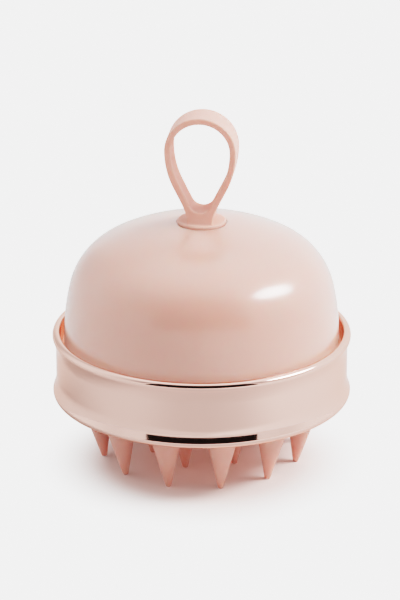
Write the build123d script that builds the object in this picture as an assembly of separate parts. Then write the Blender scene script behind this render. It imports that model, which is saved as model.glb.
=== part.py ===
from build123d import *
import os
from math import acos, asin, atan2, cos, degrees, hypot, radians, sin, sqrt, tan

# Hand-held scalp massager brush. It stands on its bristle tips.
# Frame: millimetres, +Z up, origin on the axis in the plane of the bristle tips.
# The finger loop lies in the XZ plane at rest, so a finger goes through it along Y.

# ---- driving dimensions -------------------------------------------------------------
ring_radius = 42.5        # widest radius of the plated ring, at both of its lips
crown_height = 69.9       # top of the dome on the axis
overall_height = 101.35   # top of the finger loop

# plated ring
top_lip_height = 35.9     # where the upper lip is widest
bottom_lip_height = 19.3  # where the lower lip is widest
lip_round = 1.4           # outer rounding of both lips
lip_edge_round = 0.6      # inner rounding of both lips
waist_depth = 0.95        # how far the waist is drawn in from the lips
flare_arc = 11.0          # hollow arc that runs from the waist out to each lip
ring_bore = 40.4          # inside radius of the ring's wall
ledge_bore = 36.1         # inside radius of the ledge that is clamped
ledge_top = 30.8
ledge_thickness = 2.0
bottom_lip_bore = 38.4    # the lower lip turns in to hold the pad's rim
bottom_lip_shelf = 19.7   # top of that turned-in lip

# dome
dome_radius = 39.13       # widest radius, just inside the ring's upper lip
dome_widest_height = 35.9
crown_arc = 60.7
shoulder_arc = 19.1
side_arc = 64.4
dome_wall = 2.2
spigot_outer = 35.9       # collar under the dome that fills the ledge's bore
spigot_inner = 34.0
spigot_foot = 27.8

# crown seat and swivel
foot_radius = 6.9         # round foot of the finger loop
foot_base = 69.35
foot_thickness = 1.25
seat_gap = 0.2            # radial gap round the foot in its seat
axial_play = 0.1          # end play of the swivel
stem_radius = 2.8
stem_end = 65.5
stem_play = 0.05          # running clearance of the stem in the crown hole
crown_boss_radius = 6.5
washer_radius = 4.6
washer_thickness = 0.8
washer_play = 0.1         # between the washer's bore and its screw
insert_radius = 2.1
insert_top = 71.5
insert_collar_radius = 3.0
insert_collar_low = 69.6
insert_collar_high = 70.4
loop_screw_radius = 1.5
loop_screw_head = 2.75
loop_screw_head_height = 1.7
loop_screw_top = 69.4
insert_hole_top = 69.7    # the threaded hole is blind

# finger loop: a band bent to a drop shape
loop_half_width = 10.1    # outside half width
loop_centre_height = overall_height - loop_half_width
loop_flank_arc = 24.6     # outside radius of the flanks under the widest point
loop_leg_angle = 26.5     # legs run in at this angle from the vertical, degrees
band_thickness = 1.8
saddle_height = 73.3      # lowest point of the finger opening
root_half_width = 3.5     # half width where the legs meet the foot
root_height = 70.0        # the band's root is sunk this far into the foot
root_top = 72.8           # the legs stop running in here and drop straight to the foot
foot_edge_round = 0.3
band_width_top = 9.6
band_width_neck = 7.6
neck_height = 78.5        # the band narrows from its top down to here
neck_flare_arc = 20.0     # hollow arc that spreads it again from the neck to the foot

# base plate and seal
plate_radius = 38.2
plate_floor = 22.4        # underside, where the pad lies
plate_thickness = 2.2
shoulder_inner = 33.8
seal_thickness = 1.0
rim_inner = 36.3
rib_height = 1.6
rib_width = 1.4
rib_end = 24.5            # the cross ribs reach this far from the axis
rib_circle = 14.0
rib_sink = 0.2            # ribs and posts are sunk this far into the floor

# screws that hold the base plate to the dome
screw_circle = 30.5
screw_radius = 1.3
screw_head_radius = 2.5
screw_head_height = 1.7
screw_seat = 24.4         # height of the face under each head
screw_head_play = 0.3     # between each head and its counterbore
screw_shank_play = 0.15   # between each shank and its hole in the plate
post_radius = 3.6
column_foot = 26.4        # where the plate's posts meet the dome's columns
column_radius = 3.0
column_top = 50.0
pilot_depth = 8.0
screw_reach = 7.5         # length of each screw inside its column
first_screw_angle = 45.0
screw_count = 4
cross_width = 0.6         # cross slot in each screw head

# bristle pad
pad_skirt_radius = 40.2
pad_skirt_top = 27.8
pad_corner_radius = 38.2  # just inside the ring's lower lip
pad_corner_rise = 0.9     # of the bevel from the dish's edge to that corner
pad_face_centre = 20.2    # height of the dished face on the axis
dish_radius = 250.0
pad_face_edge = 36.0      # the dish ends at this radius
tip_radius = 0.8
tip_edge = 0.3            # bevel round each tip
root_radius = 5.55
root_sink = 1.2           # bristles are sunk this far into the disc
inner_ring = 14.2         # circle of tips
outer_ring = 28.4
inner_count = 6
outer_count = 12
first_bristle_angle = 17.75   # turn of the bristle pattern from -Y, towards +X, degrees

past = 1.0                # how far a cutter runs past the face it opens

# ---- derived heights ----------------------------------------------------------------
ledge_underside = ledge_top - ledge_thickness
plate_top = plate_floor + plate_thickness
seal_base = spigot_foot - seal_thickness
seat_floor = foot_base - axial_play
crown_boss_face = stem_end + axial_play
washer_base = stem_end - washer_thickness
foot_top = foot_base + foot_thickness


# ---- helpers ------------------------------------------------------------------------
def turned(edges):
    """Solid of revolution about Z. The closed outline is drawn as (radius, height)."""
    face = make_face(edges)
    return revolve(Plane.XZ * face, Axis.Z)


def disc(radius, low, high, x=0.0, y=0.0):
    """Upright cylinder from one height to another."""
    return Pos(x, y, (low + high) / 2) * Cylinder(radius, high - low)


def tube(outer, inner, low, high, x=0.0, y=0.0):
    """Upright tube from one height to another."""
    return disc(outer, low, high, x, y) - disc(inner, low, high, x, y)


def polyline(*points):
    """Straight edges through the given points."""
    return [Line(a, b) for a, b in zip(points, points[1:])]


def arc_point(centre, radius, angle):
    """Point on a circle, with the angle in degrees from +Z towards +R."""
    return (centre[0] + radius * sin(radians(angle)), centre[1] + radius * cos(radians(angle)))


def arc(centre, radius, start, end):
    """Arc between two angles, which are in degrees from +Z towards +R."""
    points = [arc_point(centre, radius, a) for a in (start, (start + end) / 2, end)]
    return ThreePointArc(*points)


def joined(shapes):
    """One solid made of overlapping shapes."""
    whole = shapes[0]
    for shape in shapes[1:]:
        whole = whole + shape
    return whole


def screw_places():
    """X, Y and angle of each base screw."""
    for number in range(screw_count):
        angle = first_screw_angle + number * 360 / screw_count
        yield (screw_circle * cos(radians(angle)), screw_circle * sin(radians(angle)), angle)


# ---- dome ---------------------------------------------------------------------------
def dome_centres():
    """Centres of the crown, shoulder and side arcs, which meet without a corner."""
    crown = (0.0, crown_height - crown_arc)
    side = (dome_radius - side_arc, dome_widest_height)
    to_crown = crown_arc - shoulder_arc
    to_side = side_arc - shoulder_arc
    apart = hypot(side[0] - crown[0], side[1] - crown[1])
    along = (to_crown ** 2 - to_side ** 2 + apart ** 2) / (2 * apart)
    across = sqrt(to_crown ** 2 - along ** 2)
    unit = ((side[0] - crown[0]) / apart, (side[1] - crown[1]) / apart)
    shoulder = (crown[0] + along * unit[0] + across * unit[1],
                crown[1] + along * unit[1] - across * unit[0])
    return crown, shoulder, side


def dome_curve(inset):
    """Dome profile from the axis down to its widest point, moved in by the inset."""
    crown, shoulder, side = dome_centres()
    turn_1 = degrees(atan2(shoulder[0] - crown[0], shoulder[1] - crown[1]))
    turn_2 = degrees(atan2(shoulder[0] - side[0], shoulder[1] - side[1]))
    return [arc(crown, crown_arc - inset, 0, turn_1),
            arc(shoulder, shoulder_arc - inset, turn_1, turn_2),
            arc(side, side_arc - inset, turn_2, 90)]


def make_dome_shell():
    """Glossy hollow dome with a collar below, a crown seat and four screw columns."""
    inner_radius = dome_radius - dome_wall
    flange_top = ledge_top + dome_wall
    skirt = polyline((dome_radius, dome_widest_height), (dome_radius, ledge_top),
                     (spigot_outer, ledge_top), (spigot_outer, spigot_foot),
                     (spigot_inner, spigot_foot), (spigot_inner, flange_top),
                     (inner_radius, flange_top), (inner_radius, dome_widest_height))
    axis_line = Line((0, crown_height - dome_wall), (0, crown_height))
    shell = turned(dome_curve(0) + skirt + dome_curve(dome_wall) + [axis_line])

    envelope = turned(dome_curve(0) + polyline((dome_radius, dome_widest_height),
                                               (dome_radius, ledge_top), (0, ledge_top),
                                               (0, crown_height)))
    reach = dome_radius - screw_circle
    web = Pos(screw_circle + reach / 2, 0, (flange_top + column_top) / 2)
    web = web * Box(reach, dome_wall, column_top - flange_top)
    for x, y, angle in screw_places():
        shell = shell + disc(column_radius, column_foot, column_top, x, y)
        shell = shell + (Rot(0, 0, angle) * web & envelope)

    shell = shell + disc(crown_boss_radius, crown_boss_face, seat_floor)
    shell = shell - disc(foot_radius + seat_gap, seat_floor, crown_height + past)
    shell = shell - disc(stem_radius + stem_play, crown_boss_face - past, seat_floor + past)
    for x, y, _ in screw_places():
        shell = shell - disc(screw_radius, column_foot - past, column_foot + pilot_depth, x, y)
    return shell


# ---- plated ring --------------------------------------------------------------------
def ring_face():
    """Outer face from the upper lip to the lower one: lip, flare, waist, flare, lip."""
    swing = degrees(acos(1 - waist_depth / (lip_round + flare_arc)))
    flare_height = (lip_round + flare_arc) * sin(radians(swing))
    lip_centre = ring_radius - lip_round
    hollow_centre = ring_radius - waist_depth + flare_arc
    top = (lip_centre, top_lip_height)
    bottom = (lip_centre, bottom_lip_height)
    top_hollow = (hollow_centre, top_lip_height - flare_height)
    bottom_hollow = (hollow_centre, bottom_lip_height + flare_height)
    return [arc(top, lip_round, 0, 90 + swing),
            arc(top_hollow, flare_arc, 270 + swing, 270),
            Line((ring_radius - waist_depth, top_hollow[1]),
                 (ring_radius - waist_depth, bottom_hollow[1])),
            arc(bottom_hollow, flare_arc, 270, 270 - swing),
            arc(bottom, lip_round, 90 - swing, 180)]


def make_plated_ring():
    """Plated band with a hollow waist, two lips and an inner ledge."""
    ring_top = top_lip_height + lip_round
    ring_foot = bottom_lip_height - lip_round
    lip_centre = ring_radius - lip_round
    lower_edge = (bottom_lip_bore + lip_edge_round, ring_foot + lip_edge_round)
    upper_edge = (ring_bore + lip_edge_round, ring_top - lip_edge_round)
    inside = polyline((bottom_lip_bore, lower_edge[1]), (bottom_lip_bore, bottom_lip_shelf),
                      (ring_bore, bottom_lip_shelf), (ring_bore, ledge_underside),
                      (ledge_bore, ledge_underside), (ledge_bore, ledge_top),
                      (ring_bore, ledge_top), (ring_bore, upper_edge[1]))
    outline = ring_face()
    outline += [Line((lip_centre, ring_foot), (lower_edge[0], ring_foot)),
                arc(lower_edge, lip_edge_round, 180, 270)]
    outline += inside
    outline += [arc(upper_edge, lip_edge_round, 270, 360),
                Line((upper_edge[0], ring_top), (lip_centre, ring_top))]
    return turned(outline)


# ---- base plate, seal and screws ----------------------------------------------------
def make_base_plate():
    """Shallow cup that closes the dome: floor, seal shoulder, rim, posts and ribs."""
    plate = turned(polyline((0, plate_floor), (plate_radius, plate_floor),
                            (plate_radius, ledge_underside), (rim_inner, ledge_underside),
                            (rim_inner, seal_base), (shoulder_inner, seal_base),
                            (shoulder_inner, plate_top), (0, plate_top), (0, plate_floor)))
    rib_low = plate_top - rib_sink
    rib_high = plate_top + rib_height
    rib = Pos(0, 0, (rib_low + rib_high) / 2) * Box(2 * rib_end, rib_width, rib_high - rib_low)
    plate = plate + rib + Rot(0, 0, 90) * rib
    plate = plate + tube(rib_circle, rib_circle - rib_width, rib_low, rib_high)
    for x, y, _ in screw_places():
        plate = plate + disc(post_radius, rib_low, column_foot, x, y)
    for x, y, _ in screw_places():
        plate = plate - disc(screw_head_radius + screw_head_play, plate_floor - past, screw_seat, x, y)
        plate = plate - disc(screw_radius + screw_shank_play, screw_seat - past, column_foot + past, x, y)
    return plate


def make_seal_ring():
    """Flat square-cut rubber seal between the dome's collar and the base plate's shoulder."""
    return tube(spigot_outer, spigot_inner, seal_base, spigot_foot)


def make_pan_screw(shank, head, head_height, seat, end):
    """Screw that points up: pan head below the seat, shank above it with a cone point."""
    head_face = seat - head_height
    crown = head_height * 0.45
    point_length = shank * 0.9
    point_radius = shank * 0.4
    slot_depth = head_height * 0.6
    outline = [Line((0, head_face), (head - crown, head_face)),
               arc((head - crown, head_face + crown), crown, 180, 90)]
    outline += polyline((head, head_face + crown), (head, seat), (shank, seat),
                        (shank, end - point_length), (point_radius, end), (0, end),
                        (0, head_face))
    slot = Pos(0, 0, head_face + slot_depth / 2) * Box(head * 1.2, cross_width, slot_depth)
    return turned(outline) - slot - Rot(0, 0, 90) * slot


def make_base_screws():
    """Four self-tapping screws, each up through the base plate into a dome column."""
    screw = make_pan_screw(screw_radius, screw_head_radius, screw_head_height,
                           screw_seat, column_foot + screw_reach)
    return Compound(children=[Pos(x, y, 0) * screw for x, y, _ in screw_places()])


# ---- bristle pad --------------------------------------------------------------------
def face_height(radius):
    """Height of the dished pad face, a sphere about a point far below."""
    return pad_face_centre - dish_radius + sqrt(dish_radius ** 2 - radius ** 2)


def bristle_places():
    """Tip radius and turn of every bristle: one on the axis and two rings round it."""
    yield 0.0, first_bristle_angle
    for number in range(inner_count):
        yield inner_ring, first_bristle_angle - 30 + number * 360 / inner_count
    for number in range(outer_count):
        yield outer_ring, first_bristle_angle + number * 360 / outer_count


def make_bristle(circle, turn):
    """Blunt cone square to the dished face, with its tip at height zero."""
    lean = asin(circle / dish_radius)
    length = face_height(circle) / cos(lean) + root_sink
    flank = (root_radius - tip_radius) / face_height(0)
    tip_flat = tip_radius - tip_edge
    upright = turned(polyline((0, 0), (tip_flat, 0), (tip_radius, tip_edge),
                              (tip_radius + flank * length, length), (0, length), (0, 0)))
    tip_rise = tip_flat * sin(lean)
    return Rot(0, 0, turn) * Pos(0, -circle, tip_rise) * Rot(degrees(lean), 0, 0) * upright


def make_bristle_pad():
    """Silicone pad in one moulding: dished disc, skirt round the base plate, bristles."""
    edge_height = face_height(pad_face_edge)
    middle = pad_face_edge / 2
    face = ThreePointArc((0, pad_face_centre), (middle, face_height(middle)),
                         (pad_face_edge, edge_height))
    outline = [face] + polyline((pad_face_edge, edge_height),
                                (pad_corner_radius, edge_height + pad_corner_rise),
                                (pad_corner_radius, bottom_lip_shelf),
                                (pad_skirt_radius, bottom_lip_shelf),
                                (pad_skirt_radius, pad_skirt_top), (plate_radius, pad_skirt_top),
                                (plate_radius, plate_floor), (0, plate_floor),
                                (0, pad_face_centre))
    pad = turned(outline)
    return joined([pad] + [make_bristle(circle, turn) for circle, turn in bristle_places()])


# ---- finger loop and its swivel -----------------------------------------------------
def loop_side(offset):
    """Right half of the drop outline from its top to the end of the flank, moved in."""
    centre = (0.0, loop_centre_height)
    flank_centre = (loop_half_width - loop_flank_arc, loop_centre_height)
    flank = loop_flank_arc - offset
    flank_end = 90 + loop_leg_angle
    return [arc(centre, loop_half_width - offset, 0, 90),
            arc(flank_centre, flank, 90, flank_end)], arc_point(flank_centre, flank, flank_end)


def mirrored(edges):
    """The same edges on the other side of the axis."""
    return [edge.mirror(Plane.YZ) for edge in edges]


def band_outside():
    """Outer outline of the band, closed across the foot."""
    upper, leg = loop_side(0)
    leg_end = (leg[0] - tan(radians(loop_leg_angle)) * (leg[1] - root_top), root_top)
    right = upper + polyline(leg, leg_end, (root_half_width, root_height), (0, root_height))
    return make_face(right + mirrored(right))


def band_opening():
    """Outline of the finger opening: the drop inside the band with a round saddle."""
    upper, leg = loop_side(band_thickness)
    angle = radians(loop_leg_angle)
    gap = leg[0] * cos(angle) - (leg[1] - saddle_height) * sin(angle)
    saddle_radius = gap / (1 - sin(angle))
    centre = (0.0, saddle_height + saddle_radius)
    touch = arc_point(centre, saddle_radius, 90 + loop_leg_angle)
    right = upper + [Line(leg, touch), arc(centre, saddle_radius, 90 + loop_leg_angle, 180)]
    return make_face(right + mirrored(right))


def band_sides():
    """Block that shapes the band's sides: a taper down to the neck, then a hollow flare."""
    neck = (band_width_neck / 2, neck_height)
    shoulder = (band_width_top / 2, overall_height)
    slope = degrees(atan2(shoulder[0] - neck[0], shoulder[1] - neck[1]))
    centre = (neck[0] + neck_flare_arc * cos(radians(slope)),
              neck[1] - neck_flare_arc * sin(radians(slope)))
    flare_end = 180 + degrees(acos((centre[1] - root_height) / neck_flare_arc))
    flare_foot = arc_point(centre, neck_flare_arc, flare_end)
    right = polyline((0, overall_height), shoulder, neck)
    right += [arc(centre, neck_flare_arc, 270 + slope, flare_end), Line(flare_foot, (0, root_height))]
    return extrude(Plane.YZ * make_face(right + mirrored(right)),
                   amount=loop_half_width + past, both=True)


def make_finger_loop():
    """Soft drop-shaped loop on a round foot, with a stem that goes down into the dome."""
    band = extrude(Plane.XZ * (band_outside() - band_opening()), amount=band_width_top, both=True)
    band = band & band_sides()
    foot = disc(foot_radius, foot_base, foot_top)
    foot = fillet(foot.edges().group_by(Axis.Z)[-1], foot_edge_round)
    stem = disc(stem_radius, stem_end, insert_collar_low)
    return joined([foot, band, stem]) - insert_body()


def insert_body():
    """Outside of the bush: a barrel with a collar that locks it in the foot."""
    barrel = disc(insert_radius, stem_end, insert_top)
    return barrel + disc(insert_collar_radius, insert_collar_low, insert_collar_high)


def make_loop_insert():
    """Threaded bush moulded into the stem."""
    return insert_body() - disc(loop_screw_radius, stem_end - past, insert_hole_top)


def make_loop_washer():
    """Washer under the crown that keeps the stem in its hole."""
    return tube(washer_radius, loop_screw_radius + washer_play, washer_base, stem_end)


def make_loop_screw():
    """Screw that holds the washer to the bush, driven from inside the dome."""
    return make_pan_screw(loop_screw_radius, loop_screw_head, loop_screw_head_height,
                          washer_base, loop_screw_top)


# ---- write every piece --------------------------------------------------------------
pieces = {
    "finger_loop": make_finger_loop,
    "loop_insert": make_loop_insert,
    "loop_washer": make_loop_washer,
    "loop_screw": make_loop_screw,
    "dome_shell": make_dome_shell,
    "plated_ring": make_plated_ring,
    "base_plate": make_base_plate,
    "seal_ring": make_seal_ring,
    "base_screws": make_base_screws,
    "bristle_pad": make_bristle_pad,
}

os.makedirs("parts", exist_ok=True)
for name, make in pieces.items():
    export_step(make(), f"parts/{name}.step")
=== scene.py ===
from math import acos, asin, atan, atan2, cos, degrees, hypot, pi, radians, sin, sqrt, tan

import bmesh
import bpy
from mathutils import Matrix, Vector


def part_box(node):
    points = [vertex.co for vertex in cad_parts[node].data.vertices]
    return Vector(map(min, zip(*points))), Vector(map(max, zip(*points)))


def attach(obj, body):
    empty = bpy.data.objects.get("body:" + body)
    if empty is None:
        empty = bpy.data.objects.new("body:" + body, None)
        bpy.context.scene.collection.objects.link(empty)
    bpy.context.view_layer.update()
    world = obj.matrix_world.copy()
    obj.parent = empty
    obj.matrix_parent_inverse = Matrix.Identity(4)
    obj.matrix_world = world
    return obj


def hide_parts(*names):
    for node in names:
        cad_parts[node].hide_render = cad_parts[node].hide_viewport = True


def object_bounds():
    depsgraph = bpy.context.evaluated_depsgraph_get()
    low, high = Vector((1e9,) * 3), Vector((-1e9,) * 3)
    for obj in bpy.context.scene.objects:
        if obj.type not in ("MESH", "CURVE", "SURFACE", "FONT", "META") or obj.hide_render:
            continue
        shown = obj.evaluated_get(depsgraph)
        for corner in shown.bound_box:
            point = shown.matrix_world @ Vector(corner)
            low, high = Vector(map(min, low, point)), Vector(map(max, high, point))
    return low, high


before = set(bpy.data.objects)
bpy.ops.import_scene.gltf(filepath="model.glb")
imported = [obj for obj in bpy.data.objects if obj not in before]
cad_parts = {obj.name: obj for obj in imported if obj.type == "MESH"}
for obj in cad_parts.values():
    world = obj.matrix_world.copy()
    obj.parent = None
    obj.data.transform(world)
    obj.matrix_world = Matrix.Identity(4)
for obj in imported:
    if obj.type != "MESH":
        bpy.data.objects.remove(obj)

# Scalp massager brush, standing on its bristles. Outlines are in millimetres, in the
# frame of the CAD model. Angles of arcs are in degrees from +Z, towards +R or +X. Each
# piece that shows is made again here, finer than in CAD, and the inner ones get materials.
MM = 0.001
cad_low, cad_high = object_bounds()


# ---- sizes ----------------------------------------------------------------------------
def extent(node):
    """Outer radius along X, lowest and highest point of a CAD node, in millimetres."""
    low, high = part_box(node)
    return high.x / MM, low.z / MM, high.z / MM


# plated ring
ring_radius, ring_foot, ring_top = extent("plated_ring")
lip_round = 1.4            # outer rounding of both lips
lip_edge_round = 0.6       # inner rounding of both lips
waist_depth = 0.95         # how far the waist is drawn in from the lips
flare_arc = 11.0           # hollow arc that runs from the waist out to each lip
ring_bore = 40.4
ledge_bore = 36.1
ledge_top = 30.8
ledge_thickness = 2.0
bottom_lip_bore = 38.4     # the lower lip turns in to hold the pad's rim
bottom_lip_shelf = 19.7    # top of that turned-in lip
ring_steps = 320

# dome
dome_radius, column_foot, _ = extent("dome_shell")
crown_height = 69.9
dome_widest_height = 35.9
crown_arc = 60.7
shoulder_arc = 19.1
side_arc = 64.4
dome_wall = 2.2
spigot_outer, _, spigot_foot = extent("seal_ring")
spigot_inner = 34.0
column_radius = 3.0
column_top = 50.0
web_end = dome_radius - 1.9    # the webs run from the columns into the dome's wall
web_drop = 0.5                 # how far they stop below the tops of the columns
lap = 1.0                      # how far a piece or a cutter reaches past the face it meets
screw_circle = 30.5
screw_radius = 1.3
pilot_depth = 8.0
first_screw_angle = 45.0
screw_count = 4
column_steps = 32
dome_steps = 256

# finger loop
loop_half_width, stem_end, loop_top = extent("finger_loop")
foot_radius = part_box("finger_loop")[1].y / MM
foot_base = 69.35
foot_thickness = 0.98      # as the photograph shows it, 0.27 less than in CAD
foot_edge_round = 0.5
stem_radius = 2.8
seat_gap = 0.2
seat_rim_round = 0.2
axial_play = 0.1
stem_play = 0.05
crown_boss_radius = 6.5
loop_flank_arc = 24.6
loop_leg_angle = 26.5
band_thickness = 1.8
band_edge_round = 0.38
band_dish = 0.75           # how deep the inner face is dished across its width
saddle_height = 73.3       # lowest point of the finger opening
root_half_width = 3.5      # half width where the legs meet the foot
root_height = 70.0         # the band's root is sunk this far into the foot
root_top = 72.8            # the legs stop running in here and drop straight to the foot
root_flare = 0.3
band_width_top = 9.6
band_width_neck = 7.6
neck_height = 78.5         # the band narrows from its top down to here
neck_flare_arc = 20.0      # hollow arc that spreads it again from the neck to the foot
insert_radius = 2.1
insert_collar_radius, _, insert_top = extent("loop_insert")
insert_collar_low = 69.6
insert_collar_high = 70.4
foot_steps = 128
barrel_steps = 64

# bristle pad
pad_skirt_radius, _, pad_skirt_top = extent("bristle_pad")
plate_radius, plate_floor, _ = extent("base_plate")
pad_face_centre = 20.2     # height of the dished face on the axis
dish_radius = 250.0
pad_face_edge = 36.0
pad_corner_radius = 38.2
tip_radius = 0.8
tip_round = 0.35
root_radius = 5.55         # of the middle bristle, where its cone meets the face
root_fillet = 0.9
fillet_share = 0.93        # how far round the fillet runs before it goes into the disc
root_lap = 1.2             # how far a bristle's root reaches into the disc
inner_ring = 14.2
outer_ring = 28.4
inner_count = 6
outer_count = 12
first_bristle_angle = 17.75
bristle_steps = 48
pad_steps = 192


# ---- mesh helpers ---------------------------------------------------------------------
def arc_point(centre, radius, angle):
    """Point on a circle, with the angle from +Z towards +R."""
    return (centre[0] + radius * sin(radians(angle)), centre[1] + radius * cos(radians(angle)))


def arc(centre, radius, start, end, steps):
    """Points on a circle from one angle to another."""
    return [arc_point(centre, radius, start + (end - start) * i / steps)
            for i in range(steps + 1)]


def stretch(start, end, steps):
    """Evenly spaced points after the start, up to the end."""
    return [(start[0] + (end[0] - start[0]) * i / steps,
             start[1] + (end[1] - start[1]) * i / steps) for i in range(1, steps + 1)]


def bridge(mesh, ring_a, ring_b):
    """Faces between two closed rows of vertices. A row of one vertex is a pole."""
    count = max(len(ring_a), len(ring_b))
    for i in range(count):
        j = (i + 1) % count
        corners = [ring_a[i % len(ring_a)], ring_a[j % len(ring_a)],
                   ring_b[j % len(ring_b)], ring_b[i % len(ring_b)]]
        distinct = list(dict.fromkeys(corners))
        if len(distinct) > 2:
            mesh.faces.new(distinct)


def made_object(mesh, name, smooth_below=35.0):
    """Object from a bmesh that is drawn in millimetres, with normals outwards."""
    bmesh.ops.remove_doubles(mesh, verts=mesh.verts, dist=1e-5)
    bmesh.ops.recalc_face_normals(mesh, faces=mesh.faces)
    bmesh.ops.scale(mesh, vec=(MM, MM, MM), verts=mesh.verts)
    data = bpy.data.meshes.new(name)
    mesh.to_mesh(data)
    mesh.free()
    data.shade_smooth()
    data.set_sharp_from_angle(angle=radians(smooth_below))
    piece = bpy.data.objects.new(name, data)
    bpy.context.scene.collection.objects.link(piece)
    return piece


def lathe(name, outline, steps):
    """Solid of revolution about Z. The closed outline is a list of (radius, height)."""
    mesh = bmesh.new()
    rings = []
    for radius, height in outline:
        if radius < 1e-6:
            rings.append([mesh.verts.new((0, 0, height))])
            continue
        turns = [2 * pi * i / steps for i in range(steps)]
        rings.append([mesh.verts.new((radius * cos(t), radius * sin(t), height)) for t in turns])
    for ring_a, ring_b in zip(rings, rings[1:] + rings[:1]):
        bridge(mesh, ring_a, ring_b)
    return made_object(mesh, name)


def cylinder(name, radius, low, high):
    """Upright cylinder on the axis between two heights."""
    return lathe(name, [(0, low), (radius, low), (radius, high), (0, high)], column_steps)


def block(name, low, high):
    """Box between two corners, in millimetres."""
    mesh = bmesh.new()
    bmesh.ops.create_cube(mesh, size=1)
    centre = [(a + b) / 2 for a, b in zip(low, high)]
    size = [b - a for a, b in zip(low, high)]
    bmesh.ops.scale(mesh, vec=size, verts=mesh.verts)
    bmesh.ops.translate(mesh, vec=centre, verts=mesh.verts)
    return made_object(mesh, name)


def turned(piece, matrix):
    """The piece with a matrix applied to its mesh. Moves are in metres."""
    piece.data.transform(matrix)
    return piece


def combine(piece, others, operation, smooth_below=35.0):
    """Exact boolean of the piece with all the others, which are used up."""
    group = bpy.data.collections.new("cutters")
    bpy.context.scene.collection.children.link(group)
    for other in others:
        bpy.context.scene.collection.objects.unlink(other)
        group.objects.link(other)
    modifier = piece.modifiers.new("combine", "BOOLEAN")
    modifier.operation = operation
    modifier.solver = "EXACT"
    modifier.operand_type = "COLLECTION"
    modifier.collection = group
    graph = bpy.context.evaluated_depsgraph_get()
    data = bpy.data.meshes.new_from_object(piece.evaluated_get(graph))
    piece.modifiers.clear()
    piece.data = data
    for other in others:
        bpy.data.objects.remove(other)
    bpy.data.collections.remove(group)
    data.shade_smooth()
    data.set_sharp_from_angle(angle=radians(smooth_below))
    return piece


def flat_faces_first(piece):
    """Lets large faces set the normals, so that roundings don't shade the flats."""
    modifier = piece.modifiers.new("normals", "WEIGHTED_NORMAL")
    modifier.keep_sharp = True
    modifier.weight = 80


# ---- dome -----------------------------------------------------------------------------
def dome_centres():
    """Centres of the crown, shoulder and side arcs, which meet without a corner."""
    crown = (0.0, crown_height - crown_arc)
    side = (dome_radius - side_arc, dome_widest_height)
    to_crown = crown_arc - shoulder_arc
    to_side = side_arc - shoulder_arc
    apart = hypot(side[0] - crown[0], side[1] - crown[1])
    along = (to_crown ** 2 - to_side ** 2 + apart ** 2) / (2 * apart)
    across = sqrt(to_crown ** 2 - along ** 2)
    unit = ((side[0] - crown[0]) / apart, (side[1] - crown[1]) / apart)
    shoulder = (crown[0] + along * unit[0] + across * unit[1],
                crown[1] + along * unit[1] - across * unit[0])
    return crown, shoulder, side


def dome_curve(inset, first_radius, density):
    """Dome profile from a radius near the axis down to its widest point, moved in."""
    crown, shoulder, side = dome_centres()
    turn_0 = degrees(asin(first_radius / (crown_arc - inset)))
    turn_1 = degrees(atan2(shoulder[0] - crown[0], shoulder[1] - crown[1]))
    turn_2 = degrees(atan2(shoulder[0] - side[0], shoulder[1] - side[1]))
    return (arc(crown, crown_arc - inset, turn_0, turn_1, 2 * density)
            + arc(shoulder, shoulder_arc - inset, turn_1, turn_2, 3 * density)[1:]
            + arc(side, side_arc - inset, turn_2, 90, density)[1:])


def make_dome():
    """Glossy hollow dome with a collar, a crown seat and four webbed screw columns."""
    seat = foot_radius + seat_gap
    seat_floor = foot_base - axial_play
    hole = stem_radius + stem_play
    boss_face = stem_end + axial_play
    inner_radius = dome_radius - dome_wall
    flange_top = ledge_top + dome_wall
    outside = dome_curve(0, seat + seat_rim_round, 14)
    rim = (seat + seat_rim_round, outside[0][1] - seat_rim_round)
    inside = dome_curve(dome_wall, crown_boss_radius, 6)
    outline = [(hole, boss_face), (hole, seat_floor), (seat, seat_floor)]
    outline += arc(rim, seat_rim_round, 270, 360, 5)
    outline += outside[1:]
    outline += [(dome_radius, ledge_top), (spigot_outer, ledge_top),
                (spigot_outer, spigot_foot), (spigot_inner, spigot_foot),
                (spigot_inner, flange_top), (inner_radius, flange_top)]
    outline += reversed(inside)
    outline += [(crown_boss_radius, boss_face)]
    dome = lathe("glossy_dome", outline, dome_steps)

    columns, pilots = [], []
    for number in range(screw_count):
        turn = Matrix.Rotation(radians(first_screw_angle + number * 360 / screw_count), 4, "Z")
        shift = Matrix.Translation((screw_circle * MM, 0, 0))
        column = cylinder("column", column_radius, column_foot, column_top)
        pilot = cylinder("pilot", screw_radius, column_foot - lap, column_foot + pilot_depth)
        web = block("web", (screw_circle, -dome_wall / 2, flange_top - lap),
                    (web_end, dome_wall / 2, column_top - web_drop))
        columns += [turned(column, turn @ shift), turned(web, turn)]
        pilots.append(turned(pilot, turn @ shift))
    combine(dome, columns, "UNION")
    combine(dome, pilots, "DIFFERENCE")
    flat_faces_first(dome)
    return dome


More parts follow.
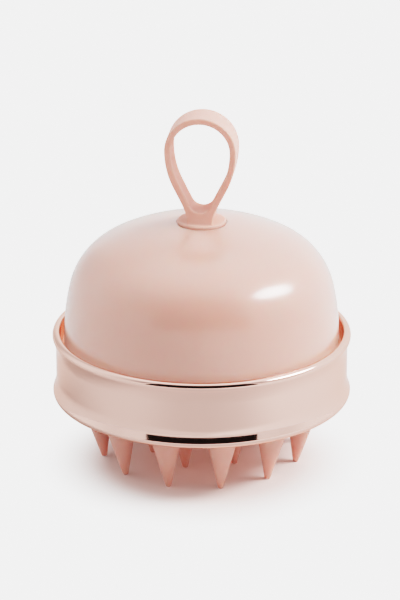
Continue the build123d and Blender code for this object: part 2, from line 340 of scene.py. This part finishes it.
# ---- plated ring ----------------------------------------------------------------------
def make_ring():
    """Plated band: two rounded lips, a waist between two hollow flares, a ledge inside."""
    swing = degrees(acos(1 - waist_depth / (lip_round + flare_arc)))
    flare_height = (lip_round + flare_arc) * sin(radians(swing))
    lip_centre = ring_radius - lip_round
    hollow_centre = ring_radius - waist_depth + flare_arc
    top = ring_top - lip_round
    bottom = ring_foot + lip_round
    ledge_underside = ledge_top - ledge_thickness
    outline = arc((lip_centre, top), lip_round, 0, 90 + swing, 24)
    outline += arc((hollow_centre, top - flare_height), flare_arc, 270 + swing, 270, 16)[1:]
    outline += arc((hollow_centre, bottom + flare_height), flare_arc, 270, 270 - swing, 16)
    outline += arc((lip_centre, bottom), lip_round, 90 - swing, 180, 24)[1:]
    outline += arc((bottom_lip_bore + lip_edge_round, ring_foot + lip_edge_round),
                   lip_edge_round, 180, 270, 8)
    outline += [(bottom_lip_bore, bottom_lip_shelf), (ring_bore, bottom_lip_shelf),
                (ring_bore, ledge_underside), (ledge_bore, ledge_underside),
                (ledge_bore, ledge_top), (ring_bore, ledge_top)]
    outline += arc((ring_bore + lip_edge_round, ring_top - lip_edge_round),
                   lip_edge_round, 270, 360, 8)
    ring = lathe("rose_gold_ring", outline, ring_steps)
    flat_faces_first(ring)
    # The ring in the photograph doesn't darken the dome beside it, so soft light passes it.
    ring.visible_diffuse = False
    return ring


# ---- bristle pad ----------------------------------------------------------------------
def face_height(radius):
    """Height of the dished pad face, a sphere about a point far below."""
    return pad_face_centre - dish_radius + sqrt(dish_radius ** 2 - radius ** 2)


def bristle_places():
    """Tip radius and turn of every bristle: one on the axis and two rings round it."""
    yield 0.0, first_bristle_angle
    for number in range(inner_count):
        yield inner_ring, first_bristle_angle + (number - 0.5) * 360 / inner_count
    for number in range(outer_count):
        yield outer_ring, first_bristle_angle + number * 360 / outer_count


def make_bristle(circle, turn):
    """Cone square to the dished face, with a rounded tip and a fillet at its root."""
    lean = asin(circle / dish_radius)
    length = face_height(circle) / cos(lean)
    flank = atan2(root_radius - tip_radius, pad_face_centre)
    flank_degrees = degrees(flank)
    tip_centre = (tip_radius - tip_round, tip_round)
    outline = [(0.0, 0.0)] + arc(tip_centre, tip_round, 180, 90 + flank_degrees, 6)
    fillet_low = length - root_fillet * (1 - sin(flank))
    flank_start = outline[-1]
    fillet_start = flank_start[0] + (fillet_low - flank_start[1]) * tan(flank)
    outline += stretch(flank_start, (fillet_start, fillet_low), 8)
    centre = (fillet_start + root_fillet * cos(flank), fillet_low - root_fillet * sin(flank))
    swing = (90 - flank_degrees) * fillet_share
    outline += arc(centre, root_fillet, 270 + flank_degrees, 270 + flank_degrees + swing, 7)[1:]
    outline += [(outline[-1][0], length + root_lap), (0.0, length + root_lap)]
    bristle = lathe("bristle", outline, bristle_steps)
    tip_rise = (tip_radius - tip_round) * sin(lean)
    move = Matrix.Translation((0, -circle * MM, tip_rise * MM))
    return turned(bristle, Matrix.Rotation(radians(turn), 4, "Z") @ move
                  @ Matrix.Rotation(lean, 4, "X"))


def make_pad():
    """Silicone pad: dished disc, skirt round the base plate and nineteen bristles."""
    corner = pad_corner_radius - pad_face_edge
    face = stretch((0, 0), (pad_face_edge, 0), 24)
    outline = [(radius, face_height(radius)) for radius, _ in [(0, 0)] + face]
    outline += arc((pad_face_edge, outline[-1][1] + corner), corner, 180, 90, 8)[1:]
    outline += [(pad_corner_radius, bottom_lip_shelf), (pad_skirt_radius, bottom_lip_shelf),
                (pad_skirt_radius, pad_skirt_top), (plate_radius, pad_skirt_top),
                (plate_radius, plate_floor), (0, plate_floor)]
    pad = lathe("silicone_bristle_pad", outline, pad_steps)
    bristles = [make_bristle(circle, turn) for circle, turn in bristle_places()]
    return combine(pad, bristles, "UNION")


# ---- finger loop ----------------------------------------------------------------------
def loop_side(offset):
    """Right half of the drop outline from its top to the end of the flank, moved in."""
    centre = (0.0, loop_top - loop_half_width)
    flank_centre = (loop_half_width - loop_flank_arc, centre[1])
    return (arc(centre, loop_half_width - offset, 0, 90, 30)
            + arc(flank_centre, loop_flank_arc - offset, 90, 90 + loop_leg_angle, 14)[1:])


def curve_between(start, bend, end, steps):
    """Points after the start on a curve that leaves and arrives towards the bend."""
    points = []
    for i in range(1, steps + 1):
        t = i / steps
        points.append(tuple((1 - t) ** 2 * a + 2 * t * (1 - t) * b + t ** 2 * c
                            for a, b, c in zip(start, bend, end)))
    return points


def flare_at(height):
    """How far the band spreads where it runs out into the foot."""
    rise = height - (foot_base + foot_thickness)
    if rise >= root_flare:
        return 0.0
    rise = max(rise, 0.0)
    return root_flare - sqrt(root_flare ** 2 - (root_flare - rise) ** 2)


def loop_rails():
    """Inner and outer outline of the whole band, as matching points down both sides."""
    inner = loop_side(band_thickness)
    outer = loop_side(0)
    angle = radians(loop_leg_angle)
    leg = inner[-1]
    gap = leg[0] * cos(angle) - (leg[1] - saddle_height) * sin(angle)
    saddle_radius = gap / (1 - sin(angle))
    saddle_centre = (0.0, saddle_height + saddle_radius)
    touch = arc_point(saddle_centre, saddle_radius, 90 + loop_leg_angle)
    outer_touch = (touch[0] + band_thickness * cos(angle), touch[1] - band_thickness * sin(angle))
    bend = (outer_touch[0] - tan(angle) * (outer_touch[1] - root_top), root_top)
    inner += stretch(leg, touch, 14)
    outer += stretch(outer[-1], outer_touch, 14)
    inner += arc(saddle_centre, saddle_radius, 90 + loop_leg_angle, 180, 20)[1:]
    outer += curve_between(outer_touch, bend, (root_half_width, root_height), 14)
    outer += stretch(outer[-1], (0.0, root_height), 6)
    left = [[(-x, z) for x, z in reversed(rail[1:-1])] for rail in (inner, outer)]
    return inner + left[0], outer + left[1]


def band_half_width(height):
    """Half the band's width: it narrows evenly to the neck, then a hollow arc spreads it."""
    taper = (band_width_top - band_width_neck) / 2 / (loop_top - neck_height)
    slope = atan(taper)
    neck = band_width_neck / 2
    if height >= neck_height:
        return neck + taper * (height - neck_height)
    centre_y = neck + neck_flare_arc * cos(slope)
    drop = neck_height - neck_flare_arc * sin(slope) - height
    return centre_y - sqrt(neck_flare_arc ** 2 - drop ** 2)


def band_section(steps=5, lines=8, dish_lines=12):
    """Round the band's section: place across, share of the thickness, turn of the rounding.

    The place across runs from -1 to 1 between the roundings, and is within that only on the
    inner face, which is dished.
    """
    turns = [90 * i / (steps - 1) for i in range(steps)]
    half = [(0.0, turn) for turn in turns]
    half += [(1 - (1 - i / (lines + 1)) ** 1.5, 90.0) for i in range(1, lines + 1)]
    half += [(1.0, 90 + turn) for turn in turns]
    section = [(-1, *place) for place in half] + [(1, *place) for place in reversed(half)]
    return section + [(1 - 2 * i / dish_lines, 0.0, 0.0) for i in range(1, dish_lines)]


def make_band():
    """Drop-shaped band with rounded edges, narrowest at its neck and spread at its foot."""
    inner, outer = loop_rails()
    section = band_section()
    mesh = bmesh.new()
    rings = []
    for inside, outside in zip(inner, outer):
        start = Vector((inside[0], 0, inside[1]))
        outward = Vector((outside[0], 0, outside[1])) - start
        thickness = outward.length
        outward.normalize()
        ring = []
        for across, share, turn in section:
            depth = band_edge_round + (thickness - 2 * band_edge_round) * share
            depth += band_dish * (1 - across ** 2)
            point = start + outward * (depth - band_edge_round * cos(radians(turn)))
            inset = band_edge_round * (1 - sin(radians(turn)))
            flare = flare_at(point.z)
            point.y = across * (band_half_width(point.z) - inset + flare)
            point.x += flare * share * (1 if point.x > 0 else -1)
            ring.append(mesh.verts.new(point))
        rings.append(ring)
    for ring_a, ring_b in zip(rings, rings[1:] + rings[:1]):
        bridge(mesh, ring_a, ring_b)
    return made_object(mesh, "band")


def make_loop():
    """Soft finger loop: the band, its round foot and the stem that holds the insert."""
    foot_top = foot_base + foot_thickness
    edge = foot_radius - foot_edge_round
    outline = [(0, stem_end), (stem_radius, stem_end), (stem_radius, foot_base),
               (foot_radius, foot_base)]
    outline += arc((edge, foot_top - foot_edge_round), foot_edge_round, 90, 0, 6)
    outline += [(0, foot_top)]
    foot = lathe("soft_finger_loop", outline, foot_steps)
    barrel = lathe("barrel", [(0, stem_end - lap), (insert_radius, stem_end - lap),
                              (insert_radius, insert_collar_low),
                              (insert_collar_radius, insert_collar_low),
                              (insert_collar_radius, insert_collar_high),
                              (insert_radius, insert_collar_high),
                              (insert_radius, insert_top), (0, insert_top)], barrel_steps)
    loop = combine(foot, [make_band()], "UNION", 50)
    combine(loop, [barrel], "DIFFERENCE", 50)
    flat_faces_first(loop)
    return loop


# ---- materials ------------------------------------------------------------------------
class Nodes:
    """A node tree that is built up one node at a time."""

    def __init__(self, tree):
        self.tree = tree

    def add(self, kind, **values):
        """New node. Named values are put on its sockets."""
        node = self.tree.nodes.new(kind)
        for socket, value in values.items():
            node.inputs[socket.replace("_", " ")].default_value = value
        return node

    def feed(self, socket, value):
        """Puts another node's output, a plain number or a colour on a socket."""
        if isinstance(value, (int, float, tuple)):
            socket.default_value = value
        else:
            self.tree.links.new(value, socket)

    def math(self, operation, a, b=0.0):
        """Result of one operation on two numbers."""
        node = self.add("ShaderNodeMath")
        node.operation = operation
        self.feed(node.inputs[0], a)
        self.feed(node.inputs[1], b)
        return node.outputs["Value"]

    def ramp(self, value, low, high, at_low=0.0, at_high=1.0):
        """Smooth step from one number to another as the value goes from low to high."""
        node = self.add("ShaderNodeMapRange", From_Min=low, From_Max=high,
                        To_Min=at_low, To_Max=at_high)
        node.interpolation_type = "SMOOTHSTEP"
        self.feed(node.inputs["Value"], value)
        return node.outputs["Result"]

    def cover(self, value, mask, new):
        """The value, replaced by a new one as far as the mask goes from 0 to 1."""
        kept = self.math("MULTIPLY", value, self.math("SUBTRACT", 1.0, mask))
        return self.math("ADD", kept, self.math("MULTIPLY", mask, new))

    def blend(self, factor, first, second):
        """Colour that goes from the first to the second as the factor goes from 0 to 1."""
        mix = self.add("ShaderNodeMix")
        mix.data_type = "RGBA"
        self.feed(mix.inputs["Factor"], factor)
        ends = [socket for socket in mix.inputs if socket.type == "RGBA"]
        for socket, colour in zip(ends, (first, second)):
            self.feed(socket, colour)
        return next(socket for socket in mix.outputs if socket.type == "RGBA")

    def vector_math(self, operation, vector):
        """The node of an operation on a vector, for its outputs and other inputs."""
        node = self.add("ShaderNodeVectorMath")
        node.operation = operation
        self.feed(node.inputs[0], vector)
        return node


class Shader(Nodes):
    """A node material with tint, polish and relief from noise."""

    noise_span = (0.3, 0.7)     # nearly all of a noise texture's values lie between these

    def __init__(self, name, colour, roughness, **values):
        self.material = bpy.data.materials.new(name)
        self.material.use_nodes = True
        super().__init__(self.material.node_tree)
        self.shader = self.tree.nodes["Principled BSDF"]
        self.shader.inputs["Base Color"].default_value = (*colour, 1)
        self.shader.inputs["Roughness"].default_value = roughness
        for socket, value in values.items():
            self.shader.inputs[socket.replace("_", " ")].default_value = value
        self.colour = colour
        self.roughness = roughness
        self.place = self.add("ShaderNodeTexCoord").outputs["Object"]

    def noise(self, size_mm, detail=2.0, stretch=(1, 1, 1)):
        """Noise with features of about that size, remapped to run from 0 to 1."""
        mapping = self.add("ShaderNodeMapping", Scale=stretch)
        self.feed(mapping.inputs["Vector"], self.place)
        node = self.add("ShaderNodeTexNoise", Scale=1 / (size_mm * MM), Detail=detail)
        self.feed(node.inputs["Vector"], mapping.outputs["Vector"])
        return self.ramp(node.outputs["Fac"], *self.noise_span)

    def tint(self, factor, amount):
        """Colour that varies in lightness by the amount, up and down."""
        darker = (*[c * (1 - amount) for c in self.colour], 1)
        lighter = (*[min(c * (1 + amount), 1.0) for c in self.colour], 1)
        self.feed(self.shader.inputs["Base Color"], self.blend(factor, darker, lighter))

    def polish(self, factor, amount):
        """Roughness that varies by the amount, up and down."""
        self.feed(self.shader.inputs["Roughness"],
                  self.ramp(factor, 0, 1, self.roughness - amount, self.roughness + amount))

    def relief(self, factor, depth_mm):
        """Bump of about that depth."""
        bump = self.add("ShaderNodeBump", Strength=1.0, Distance=depth_mm * MM)
        self.feed(bump.inputs["Height"], factor)
        self.feed(self.shader.inputs["Normal"], bump.outputs["Normal"])


def gloss_plastic():
    """High gloss moulding in pale pink, under a clear coat with a soft bloom."""
    made = Shader("dome_gloss_plastic", (0.745, 0.39, 0.322), 0.14, IOR=1.5, Coat_Weight=1.0,
                  Coat_Roughness=0.3, Coat_IOR=1.5, Subsurface_Weight=1.0, Subsurface_Scale=0.005,
                  Subsurface_Radius=(1.0, 0.5, 0.35))
    made.tint(made.noise(14, 3), 0.012)
    made.polish(made.noise(6, 4), 0.012)
    made.relief(made.noise(9, 2), 0.003)
    return made.material


def rose_plating():
    """Mirror plating in rose gold, with the faint haze of a plated moulding."""
    made = Shader("rose_gold_plating", (0.82, 0.525, 0.455), 0.08, Metallic=1.0,
                  Specular_Tint=(1.0, 0.82, 0.76, 1))
    made.tint(made.noise(20, 2), 0.01)
    made.polish(made.noise(3, 5), 0.02)
    made.relief(made.noise(5, 2), 0.002)
    return made.material


def silicone(name, colour, depth):
    """Soft satin silicone with a fine moulded grain, more or less translucent."""
    made = Shader(name, colour, 0.48, Subsurface_Weight=depth, Subsurface_Scale=0.005,
                  Subsurface_Radius=(1.0, 0.42, 0.32), IOR=1.42)
    made.tint(made.noise(5, 4), 0.02)
    made.polish(made.noise(1.2, 3), 0.05)
    made.relief(made.noise(0.22, 3), 0.006)
    return made.material


def turned_metal(name, colour, roughness):
    """Metal with fine rings from turning."""
    made = Shader(name, colour, roughness, Metallic=1.0)
    made.tint(made.noise(2.5, 3), 0.04)
    rings = made.noise(0.25, 2, (0.05, 0.05, 3.0))
    made.polish(rings, 0.08)
    made.relief(rings, 0.008)
    return made.material


def moulded_plastic(name, colour, roughness):
    """Plain injection moulding with a fine spark-eroded grain."""
    made = Shader(name, colour, roughness)
    made.tint(made.noise(8, 3), 0.03)
    made.polish(made.noise(1.0, 3), 0.07)
    made.relief(made.noise(0.15, 2), 0.01)
    return made.material


def seal_rubber():
    """Matt rubber with a dusty bloom."""
    made = Shader("seal_rubber", (0.58, 0.57, 0.54), 0.72, Sheen_Weight=0.2)
    made.tint(made.noise(3, 4), 0.06)
    made.polish(made.noise(0.8, 3), 0.08)
    made.relief(made.noise(0.12, 3), 0.012)
    return made.material


def distance_from(made, place, centre):
    """Distance of a place from a point in millimetres on the floor."""
    shift = made.add("ShaderNodeMapping", Location=[-part * MM for part in centre])
    made.feed(shift.inputs["Vector"], place)
    return made.vector_math("LENGTH", shift.outputs["Vector"]).outputs["Value"]


def lit_sheet():
    """Pale sheet that looks white to the camera, but not under the brush.

    Near the brush it is lighter and tinted pink: painted bounce light off the pink silicone.
    Further out it is darker at the left and at the front: painted shade, which shows in the
    ring. Right under the brush it glows pink: a painted glow for light that comes down
    through the silicone. Its camera-only glow further out also lightens the shadow's edge.
    """
    made = Shader("pale_sheet", painted_bounce_albedo, 0.9, Specular_IOR_Level=0.0)
    turn = made.add("ShaderNodeMapping", Rotation=(0, 0, -radians(view_azimuth)))
    made.feed(turn.inputs["Vector"], made.place)
    place = turn.outputs["Vector"]
    split = made.add("ShaderNodeSeparateXYZ")
    made.feed(split.inputs["Vector"], place)
    from_brush = distance_from(made, place, shadow_centre)
    from_front = distance_from(made, place, front_shade_centre)
    seen = made.add("ShaderNodeLightPath").outputs["Is Camera Ray"]
    clear = made.math("MULTIPLY", made.ramp(from_brush, glow_start * MM, glow_full * MM), seen)

    # painted shade: the floor's colour is darker to the left and to the front, where less light
    # falls
    sideways = made.ramp(split.outputs["X"], 0.0, painted_shade_run * MM, painted_shade_left, painted_shade_right)
    front = made.ramp(from_front, front_shade_near * MM, front_shade_far * MM, front_shade_share, 1.0)
    painted_shade_albedo = made.math("MULTIPLY", sideways, front)
    # painted bounce light: the floor's colour near the brush is lighter and pink
    past_painted_bounce = made.ramp(from_brush, bounce_tint_full * MM, bounce_tint_end * MM)
    albedo = made.blend(past_painted_bounce, (*painted_bounce_albedo, 1), painted_shade_albedo)
    dim = made.vector_math("SCALE", albedo)
    made.feed(dim.inputs["Scale"], made.math("SUBTRACT", 1.0, clear))
    made.feed(made.shader.inputs["Base Color"], dim.outputs["Vector"])

    # painted glow: the floor glows pink right under the brush, for light that comes down through
    # the silicone
    under = made.ramp(from_brush, under_full * MM, under_end * MM, painted_under_glow, 0.0)
    glow = made.math("ADD", made.math("MULTIPLY", clear, background_glow), under)
    made.feed(made.shader.inputs["Emission Strength"], glow)
    white = made.ramp(from_brush, under_pink * MM, under_end * MM)
    made.feed(made.shader.inputs["Emission Color"],
              made.blend(white, (*painted_glow_colour, 1), (1.0, 1.0, 1.0, 1.0)))
    made.relief(made.noise(0.6, 2), 0.01)
    return made.material


def dress(piece, material):
    """Gives the whole piece one material."""
    piece.data.materials.clear()
    piece.data.materials.append(material)
    return piece


# ---- studio ---------------------------------------------------------------------------
view_azimuth = 7.0
view_elevation = 21.13
view_distance = 1.0        # metres
view_lens = 211.3
aim_share = 0.452          # the camera aims at this share of the brush's height
aim_side = 0.00048         # metres beside the axis

# floor: distances in millimetres
floor_radius = 3000
shadow_centre = (0, -8, 0)
# painted bounce light: the floor's colour near the brush, lighter and pink, stands in for light
# thrown off the pink silicone
painted_bounce_albedo = (0.95, 0.80, 0.76)
bounce_tint_full = 32             # that colour holds this far from the shadow's centre
bounce_tint_end = 55
# painted shade: the floor's colour is darker towards the left and the front, for light that falls
# off there; it shows in the ring
painted_shade_left = 0.60
painted_shade_right = 0.80
painted_shade_run = 100           # the change from left to right takes this far
front_shade_centre = (10, -110, 0)
front_shade_share = 0.82
front_shade_near = 30
front_shade_far = 90
# painted glow under the brush, pink, for light that comes down through the silicone
painted_under_glow = 0.07
painted_glow_colour = (1.0, 0.38, 0.30)
under_full = 10
under_pink = 14
under_end = 28
background_glow = 1.83
glow_start = 25
glow_full = 48

# light tent: places in multiples of its half width
tent_back = 1.33
tent_front = 1.0
tent_ceiling = 1.73
ceiling_edge = (0.985, 0.998)    # shares of the way to each face where its light comes in
front_edge = (0.97, 0.995)
side_edge = (0.98, 0.995)
left_wall = 1.1
right_wall = 1.27
ceiling_light = 0.3
front_wall = 1.0
far_left_start = 0.3       # the left wall is dimmer from here to the back
far_left_share = 0.62
front_dim_start = 0.1      # the tent is dimmer from here to the front
front_dim_share = 0.4
low_wall_deep = (0.0, -0.7)      # the walls beside the opening are lit up to a height
low_wall_high = (0.7, 0.4)
opening_half_width = 0.90
opening_sill = 0.11
opening_edge = 0.01
front_fill = 0.3
front_dark = 0.03
key_deep = -0.12
key_high = 0.97
key_length = 0.4
key_width = 0.17
key_core = 0.3             # the key light is full inside this share of its oval
key_strength = 24.0


def make_camera():
    """Camera at the view's angle, aimed just beside the axis."""
    turn = radians(view_azimuth)
    rise = radians(view_elevation)
    back = Vector((sin(turn) * cos(rise), -cos(turn) * cos(rise), sin(rise)))
    side = Vector((cos(turn), sin(turn), 0))
    data = bpy.data.cameras.new("camera")
    data.lens = view_lens
    camera = bpy.data.objects.new("camera", data)
    aim = Vector((0, 0, cad_high.z * aim_share))
    camera.location = aim + back * view_distance - side * aim_side
    camera.rotation_mode = "QUATERNION"
    camera.rotation_quaternion = (-back).to_track_quat("-Z", "Y")
    bpy.context.scene.collection.objects.link(camera)
    bpy.context.scene.camera = camera


def make_floor():
    """Pale sheet that the brush stands on."""
    mesh = bmesh.new()
    bmesh.ops.create_circle(mesh, cap_ends=True, segments=96, radius=floor_radius)
    floor = made_object(mesh, "floor")
    floor.location.z = cad_low.z
    return dress(floor, lit_sheet())


def tent_place(nodes):
    """Where a ray meets the tent: its place across, deep and high in half widths."""
    ray = nodes.add("ShaderNodeTexCoord").outputs["Generated"]
    turn = nodes.add("ShaderNodeMapping", Rotation=(0, 0, -radians(view_azimuth)))
    nodes.feed(turn.inputs["Vector"], ray)
    split = nodes.add("ShaderNodeSeparateXYZ")
    nodes.feed(split.inputs["Vector"], turn.outputs["Vector"])
    x, y, z = split.outputs
    reach = nodes.math("MAXIMUM", nodes.math("ABSOLUTE", x), nodes.math("DIVIDE", z, tent_ceiling))
    reach = nodes.math("MAXIMUM", reach, nodes.math("DIVIDE", y, tent_back))
    reach = nodes.math("MAXIMUM", reach, nodes.math("DIVIDE", y, -tent_front))
    return [nodes.math("DIVIDE", part, reach) for part in (x, y, z)]


def key_light(nodes, place):
    """Slanted oval softbox on the right wall, with a soft edge."""
    across, deep, high = place
    back = nodes.math("SUBTRACT", deep, key_deep)
    rise = nodes.math("SUBTRACT", high, key_high)
    lengthwise = nodes.math("DIVIDE", nodes.math("SUBTRACT", rise, back), 2 * key_length)
    sideways = nodes.math("DIVIDE", nodes.math("ADD", rise, back), 2 * key_width)
    outside = nodes.math("ADD", nodes.math("MULTIPLY", lengthwise, lengthwise),
                         nodes.math("MULTIPLY", sideways, sideways))
    oval = nodes.ramp(outside, key_core, 1.0, key_strength, 0.0)
    return nodes.math("MULTIPLY", oval, nodes.ramp(across, *side_edge))


def wall_light(nodes, place):
    """Light off the side walls, the back and the ceiling."""
    across, deep, high = place
    light = nodes.ramp(across, -1.0, 1.0, left_wall, right_wall)
    far_left = nodes.math("MULTIPLY", nodes.ramp(across, 0.0, -1.0),
                          nodes.ramp(deep, far_left_start, tent_back))
    light = nodes.math("MULTIPLY", light, nodes.ramp(far_left, 0.0, 1.0, 1.0, far_left_share))
    on_ceiling = nodes.ramp(high, *[share * tent_ceiling for share in ceiling_edge])
    light = nodes.math("ADD", light, nodes.math("MULTIPLY", on_ceiling, ceiling_light))
    dim = nodes.ramp(deep, -tent_front, front_dim_start, front_dim_share, 1.0)
    light = nodes.math("MULTIPLY", light, dim)
    low_wall = nodes.math("MULTIPLY", nodes.ramp(deep, *low_wall_deep),
                          nodes.ramp(high, *low_wall_high))
    return nodes.cover(light, low_wall, front_wall)


def make_tent():
    """White light tent as the world, open and dark at the front where the camera looks in."""
    world = bpy.data.worlds.new("light_tent")
    world.use_nodes = True
    nodes = Nodes(world.node_tree)
    place = tent_place(nodes)
    across, deep, high = place
    light = nodes.math("ADD", wall_light(nodes, place), key_light(nodes, place))

    on_front = nodes.ramp(deep, *[-share * tent_front for share in front_edge])
    light = nodes.cover(light, on_front, front_wall)
    between = nodes.ramp(nodes.math("ABSOLUTE", across),
                         opening_half_width + opening_edge, opening_half_width)
    above = nodes.ramp(high, opening_sill - opening_edge, opening_sill)
    opening = nodes.math("MULTIPLY", on_front, nodes.math("MULTIPLY", between, above))
    path = nodes.add("ShaderNodeLightPath").outputs
    fill = nodes.math("MULTIPLY", path["Is Diffuse Ray"], front_fill)
    light = nodes.cover(light, opening, nodes.math("ADD", fill, front_dark))

    background = nodes.tree.nodes["Background"]
    background.inputs["Color"].default_value = (1, 1, 1, 1)
    nodes.feed(background.inputs["Strength"],
               nodes.cover(light, path["Is Camera Ray"], background_glow))
    bpy.context.scene.world = world


# ---- the brush ------------------------------------------------------------------------
loop_soft = silicone("loop_silicone", (0.79, 0.40, 0.33), 0.35)
pad_soft = silicone("pad_silicone", (0.67, 0.38, 0.325), 0.8)

shown = (
    (make_dome, gloss_plastic(), "dome_shell", "brush", "dome_gloss"),
    (make_ring, rose_plating(), "plated_ring", "brush", "rose_plate"),
    (make_pad, pad_soft, "bristle_pad", "brush", "pad_silicone"),
    (make_loop, loop_soft, "finger_loop", "loop", "loop_silicone"),
)
for make, material, node, body, slot in shown:
    piece = dress(make(), material)
    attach(piece, body)
    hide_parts(node)

inner = (
    ("loop_insert", turned_metal("turned_brass", (0.72, 0.47, 0.16), 0.3)),
    ("loop_washer", moulded_plastic("nylon", (0.72, 0.70, 0.65), 0.5)),
    ("loop_screw", turned_metal("loop_screw_steel", (0.56, 0.56, 0.57), 0.32)),
    ("base_screws", turned_metal("base_screw_steel", (0.56, 0.56, 0.57), 0.36)),
    ("base_plate", moulded_plastic("plate_plastic", (0.74, 0.47, 0.40), 0.45)),
    ("seal_ring", seal_rubber()),
)
for node, material in inner:
    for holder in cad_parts[node].material_slots:
        holder.material = material

# ---- the studio -----------------------------------------------------------------------
make_camera()
make_floor()
make_tent()
bpy.context.scene.view_settings.view_transform = "Filmic"
bpy.context.scene.view_settings.look = "Very High Contrast"
